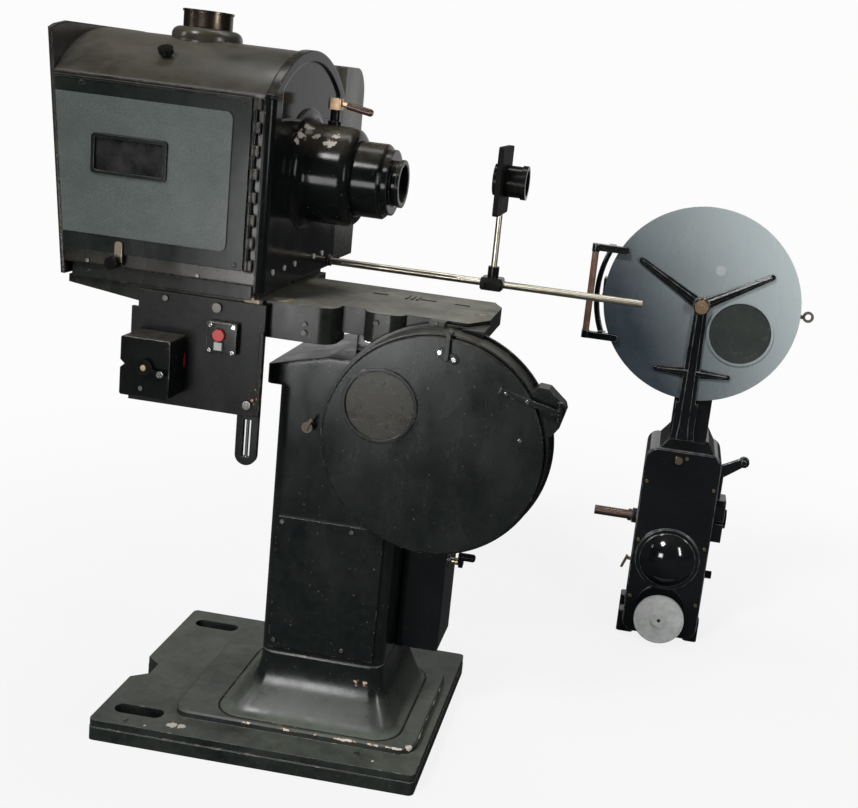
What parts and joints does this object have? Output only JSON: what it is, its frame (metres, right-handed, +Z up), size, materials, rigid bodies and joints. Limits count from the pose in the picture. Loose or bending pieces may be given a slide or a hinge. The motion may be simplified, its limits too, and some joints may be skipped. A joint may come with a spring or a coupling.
{
  "type": "film projector",
  "caption": "Theatre film projector: stand with tilting bed, arc lamphouse, take-up magazine and lens rod, and beside it the projector head with its feed magazine.",
  "frame": {"origin": "centre of the base plate's underside, on the floor", "axes": "+X along the throw from the lamphouse to the lens, +Y away from the viewer (to the side where the head stands), +Z up"},
  "size_m": [1.6592, 1.114, 1.556],
  "materials": {
    "cast_dark": "worn gloss",
    "sheet_dark": "worn satin",
    "head_gloss": "gloss",
    "door_green": "satin",
    "mag_blue": "satin",
    "steel_bright": "brushed",
    "steel_dull": "worn",
    "wheel_alloy": "satin",
    "brass": "tarnished",
    "pipe_brown": "oxidised",
    "plastic_black": "gloss",
    "plastic_red": "gloss",
    "plastic_grey": "satin",
    "grip_brown": "varnished",
    "carbon": "matt",
    "mirror_glass": "polished",
    "glass_dark": "dark",
    "glass_clear": "clear"
  },
  "bodies": {
    "stand": {"base_plate": "cast_dark", "column": "cast_dark", "column_cover": "cast_dark", "screws": "steel_bright", "drive_box": "head_gloss", "head_housing": "head_gloss", "head_cover": "head_gloss", "lens_mount": "head_gloss", "spider": "head_gloss", "upper_shell": "mag_blue", "upper_glass": "glass_dark", "handle_casting": "head_gloss", "handle_grip": "grip_brown"},
    "column_knob": {"column_knob": "grip_brown"},
    "clutch_lever": {"clutch_lever": "brass"},
    "bed": {"bed": "cast_dark", "bed_screws": "steel_bright", "switch_plate": "cast_dark", "switch_box": "head_gloss", "button_box": "head_gloss", "lower_shell": "cast_dark"},
    "lower_door": {"lower_door": "cast_dark", "lower_glass": "glass_dark"},
    "lower_latch": {"lower_latch": "cast_dark"},
    "takeup_spindle": {"lower_spindle": "steel_dull"},
    "slotted_bar": {"slotted_bar": "cast_dark"},
    "switch_knob": {"switch_knob": "brass"},
    "red_button": {"red_button": "plastic_red"},
    "grey_button": {"grey_button": "plastic_grey"},
    "lamphouse": {"slide_base": "cast_dark", "lamp_body": "sheet_dark", "rear_plate": "cast_dark", "front_casting": "head_gloss", "nose_tube": "head_gloss", "condenser": "glass_clear", "chimney_pipe": "pipe_brown", "mirror": "mirror_glass", "carbons": "carbon", "lamp_carriage": "steel_dull", "lamp_rivets": "steel_bright", "lens_rod": "brass"},
    "lamp_door": {"lamp_door": "sheet_dark", "door_panel": "door_green", "window_glass": "glass_dark"},
    "door_latch": {"door_latch": "steel_dull"},
    "roof_knob": {"roof_knob": "grip_brown"},
    "dowser": {"dowser_lever": "brass", "dowser_grip": "grip_brown"},
    "rod_clamp": {"rod_clamp": "plastic_black"},
    "lens_post": {"lens_post": "brass", "lens_board": "plastic_black"},
    "slide_lens": {"slide_lens": "plastic_black"},
    "handwheel": {"handwheel": "wheel_alloy"},
    "input_shaft": {"input_shaft": "brass"},
    "framing_lever": {"framing_lever": "brass"},
    "framing_knob": {"framing_knob": "plastic_black"},
    "projection_lens": {"projection_lens": "plastic_black"},
    "feed_spindle": {"upper_spindle": "brass"},
    "upper_door": {"upper_door": "mag_blue"},
    "upper_latch": {"upper_latch": "steel_dull"}
  },
  "joints": [
    {"name": "bed_tilt", "type": "hinge", "parent": "stand", "child": "bed", "pos_m": [0.13, 0, 0.925], "axis": [0, 1, 0], "range_deg": [-3, 3]},
    {"name": "column_knob_turn", "type": "hinge", "parent": "stand", "child": "column_knob", "pos_m": [0.036, -0.15, 0.734], "axis": [0, 1, 0], "range_deg": [-30, 60]},
    {"name": "clutch_turn", "type": "hinge", "parent": "stand", "child": "clutch_lever", "pos_m": [0.36, 0, 0.42], "axis": [1, 0, 0], "range_deg": [-45, 45]},
    {"name": "lower_door_hinge", "type": "hinge", "parent": "bed", "child": "lower_door", "pos_m": [0.564, -0.219, 0.868], "axis": [0, 0, 1], "range_deg": [0, 105]},
    {"name": "lower_latch_turn", "type": "hinge", "parent": "lower_door", "child": "lower_latch", "pos_m": [0.329, -0.225, 0.947], "axis": [0, 1, 0], "range_deg": [0, 100]},
    {"name": "takeup_spin", "type": "hinge", "parent": "bed", "child": "takeup_spindle", "pos_m": [0.316, -0.18, 0.754], "axis": [0, 1, 0], "continuous": true},
    {"name": "slotted_bar_swing", "type": "hinge", "parent": "bed", "child": "slotted_bar", "pos_m": [-0.076, -0.205, 0.781], "axis": [0, 1, 0], "range_deg": [-25, 25]},
    {"name": "switch_turn", "type": "hinge", "parent": "bed", "child": "switch_knob", "pos_m": [-0.26, -0.286, 0.852], "axis": [0, 1, 0], "range_deg": [-60, 60]},
    {"name": "red_button_press", "type": "slide", "parent": "bed", "child": "red_button", "axis": [0, 1, 0], "range_m": [0, 0.004], "stiffness_N_per_m": 400},
    {"name": "grey_button_press", "type": "slide", "parent": "bed", "child": "grey_button", "axis": [0, 1, 0], "range_m": [0, 0.004], "stiffness_N_per_m": 400},
    {"name": "lamphouse_slide", "type": "slide", "parent": "bed", "child": "lamphouse", "axis": [1, 0, 0], "range_m": [-0.02, 0.06]},
    {"name": "lamp_door_hinge", "type": "hinge", "parent": "lamphouse", "child": "lamp_door", "pos_m": [-0.09, -0.2315, 1.23], "axis": [0, 0, 1], "range_deg": [0, 105]},
    {"name": "door_latch_turn", "type": "hinge", "parent": "lamp_door", "child": "door_latch", "pos_m": [-0.349, -0.236, 1.076], "axis": [0, 1, 0], "range_deg": [-85, 85]},
    {"name": "roof_knob_turn", "type": "hinge", "parent": "lamphouse", "child": "roof_knob", "pos_m": [-0.305, -0.16, 1.4553], "axis": [0, -0.4983, 0.867], "range_deg": [-90, 90]},
    {"name": "dowser_turn", "type": "hinge", "parent": "lamphouse", "child": "dowser", "pos_m": [-0.004, 0, 1.25], "axis": [0, 0, 1], "range_deg": [0, 90]},
    {"name": "clamp_slide", "type": "slide", "parent": "lamphouse", "child": "rod_clamp", "axis": [1, 0, 0], "range_m": [-0.24, 0.3]},
    {"name": "post_slide", "type": "slide", "parent": "rod_clamp", "child": "lens_post", "axis": [0, 0, 1], "range_m": [0, 0.015]},
    {"name": "slide_lens_focus", "type": "slide", "parent": "lens_post", "child": "slide_lens", "axis": [1, 0, 0], "range_m": [-0.01, 0.03]},
    {"name": "handwheel_spin", "type": "hinge", "parent": "stand", "child": "handwheel", "pos_m": [0.851, 0.599, 0.079], "axis": [0, 1, 0], "continuous": true},
    {"name": "input_spin", "type": "hinge", "parent": "stand", "child": "input_shaft", "pos_m": [0.69, 0.713, 0.33], "axis": [1, 0, 0], "continuous": true},
    {"name": "framing_lever_turn", "type": "hinge", "parent": "stand", "child": "framing_lever", "pos_m": [0.75, 0.673, 0.215], "axis": [1, 0, 0], "range_deg": [-20, 20]},
    {"name": "framing_knob_turn", "type": "hinge", "parent": "stand", "child": "framing_knob", "pos_m": [0.962, 0.703, 0.19], "axis": [1, 0, 0], "continuous": true},
    {"name": "projection_lens_focus", "type": "slide", "parent": "stand", "child": "projection_lens", "axis": [1, 0, 0], "range_m": [0, 0.008]},
    {"name": "feed_spin", "type": "hinge", "parent": "stand", "child": "feed_spindle", "pos_m": [0.84, 0.613, 0.975], "axis": [0, 1, 0], "continuous": true},
    {"name": "upper_door_hinge", "type": "hinge", "parent": "stand", "child": "upper_door", "pos_m": [0.576, 0.703, 0.975], "axis": [0, 0, 1], "range_deg": [0, 100]},
    {"name": "upper_latch_turn", "type": "hinge", "parent": "stand", "child": "upper_latch", "pos_m": [1.096, 0.661, 0.975], "axis": [0, 1, 0], "range_deg": [-20, 60]}
  ],
  "couplings": [
    {"joint": "input_spin", "follows": "handwheel_spin", "ratio": 1}
  ]
}
